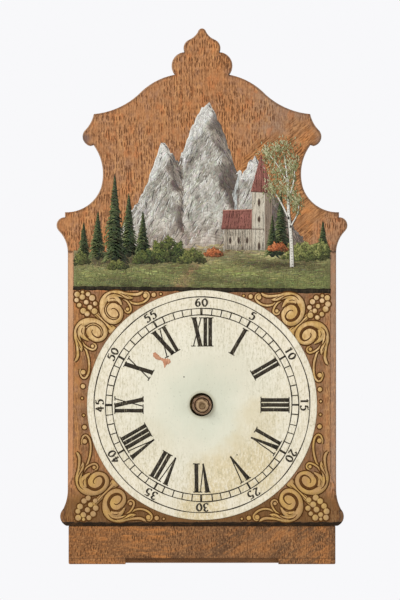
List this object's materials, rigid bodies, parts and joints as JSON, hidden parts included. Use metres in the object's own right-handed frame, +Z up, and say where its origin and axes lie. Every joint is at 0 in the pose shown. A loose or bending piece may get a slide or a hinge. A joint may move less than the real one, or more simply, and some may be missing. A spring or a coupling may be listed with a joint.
{
  "type": "wall clock",
  "caption": "Wall clock with a painted wooden shield, a round numeral dial, a wooden movement case with side doors, and a geared going train with hand pipes at the dial.",
  "frame": {"origin": "centre of the hanging plate's hole, on the wall plane", "axes": "+X right as seen from the front, +Y towards the wall, +Z up; the dial faces -Y"},
  "size_m": [0.2068, 0.123, 0.381],
  "materials": {
    "grained_wood": "oil paint grained in orange brown, satin",
    "dial_paint": "aged cream oil paint on a chalk ground, matt",
    "plinth_wood": "dark stained wood, satin",
    "case_wood": "plain softwood with age, matt",
    "plate_wood": "beech, matt",
    "hand_brass": "brown tarnished brass",
    "wheel_brass": "dull brass",
    "steel": "grey drawn steel",
    "iron": "dark iron",
    "black_paint": "black oil paint, satin",
    "gold_paint": "ochre gold oil paint",
    "picture_paint": "oil paint in several colours"
  },
  "bodies": {
    "case": {"shield_board": "grained_wood", "dial_face": "dial_paint", "plinth_board": "plinth_wood", "front_cleat": "case_wood", "cleat_screws": "iron", "pediment_batten": "case_wood", "batten_screws": "iron", "case_dowels": "case_wood", "top_board": "case_wood", "bottom_board": "case_wood", "back_board": "case_wood", "back_board_screws": "iron", "hanger_plate": "iron", "hanger_screws": "iron", "front_plate": "plate_wood", "back_plate": "plate_wood", "front_bushes": "wheel_brass", "back_bushes": "wheel_brass", "minute_wheel_post": "steel", "post_collar": "wheel_brass", "suspension_hook": "steel"},
    "great": {"great_arbor": "steel", "great_wheel": "wheel_brass", "great_collet": "wheel_brass", "click_rivet": "wheel_brass", "click_spring": "wheel_brass"},
    "sprocket": {"chain_sprocket": "wheel_brass", "ratchet_wheel": "wheel_brass"},
    "second": {"second_arbor": "steel", "second_wheel": "wheel_brass", "second_collet": "wheel_brass", "second_shrouds": "wheel_brass", "second_trundles": "steel"},
    "escape": {"escape_arbor": "steel", "escape_wheel": "wheel_brass", "escape_collet": "wheel_brass", "escape_shrouds": "wheel_brass", "escape_trundles": "steel"},
    "anchor": {"anchor_arbor": "steel", "anchor": "steel", "crutch": "steel"},
    "minute": {"minute_pipe": "hand_brass", "friction_washer": "wheel_brass"},
    "minute_wheel": {"minute_wheel": "wheel_brass", "minute_pinion": "wheel_brass"},
    "hour": {"hour_wheel": "wheel_brass", "hour_pipe": "hand_brass"},
    "door_left": {"left_door": "case_wood", "left_door_pins": "steel"},
    "door_right": {"right_door": "case_wood", "right_door_pins": "steel"}
  },
  "joints": [
    {"name": "great_spin", "type": "hinge", "parent": "case", "child": "great", "pos_m": [0, -0.053, -0.138], "axis": [0, 1, 0], "continuous": true},
    {"name": "sprocket_spin", "type": "hinge", "parent": "great", "child": "sprocket", "pos_m": [0, -0.064, -0.138], "axis": [0, 1, 0], "continuous": true},
    {"name": "second_spin", "type": "hinge", "parent": "case", "child": "second", "pos_m": [0, -0.04, -0.1036], "axis": [0, 1, 0], "continuous": true},
    {"name": "escape_spin", "type": "hinge", "parent": "case", "child": "escape", "pos_m": [0, -0.057, -0.0735], "axis": [0, 1, 0], "continuous": true},
    {"name": "anchor_rock", "type": "hinge", "parent": "case", "child": "anchor", "pos_m": [0, -0.057, -0.0481], "axis": [0, 1, 0], "range_deg": [-2.5, 2.5]},
    {"name": "minute_spin", "type": "hinge", "parent": "case", "child": "minute", "pos_m": [0, -0.092, -0.138], "axis": [0, 1, 0], "continuous": true},
    {"name": "minute_wheel_spin", "type": "hinge", "parent": "case", "child": "minute_wheel", "pos_m": [0, -0.092, -0.162], "axis": [0, 1, 0], "continuous": true},
    {"name": "hour_spin", "type": "hinge", "parent": "case", "child": "hour", "pos_m": [0, -0.102, -0.138], "axis": [0, 1, 0], "continuous": true},
    {"name": "left_door_swing", "type": "hinge", "parent": "case", "child": "door_left", "pos_m": [-0.0919, -0.0096, -0.1298], "axis": [0, 0, -1], "range_deg": [0, 90]},
    {"name": "right_door_swing", "type": "hinge", "parent": "case", "child": "door_right", "pos_m": [0.0919, -0.0096, -0.1298], "axis": [0, 0, 1], "range_deg": [0, 90]}
  ],
  "couplings": [
    {"joint": "second_spin", "follows": "great_spin", "ratio": -9.75},
    {"joint": "escape_spin", "follows": "great_spin", "ratio": 95.062},
    {"joint": "minute_spin", "follows": "great_spin", "ratio": 1},
    {"joint": "minute_wheel_spin", "follows": "great_spin", "ratio": -0.33333},
    {"joint": "hour_spin", "follows": "great_spin", "ratio": 0.083333}
  ]
}
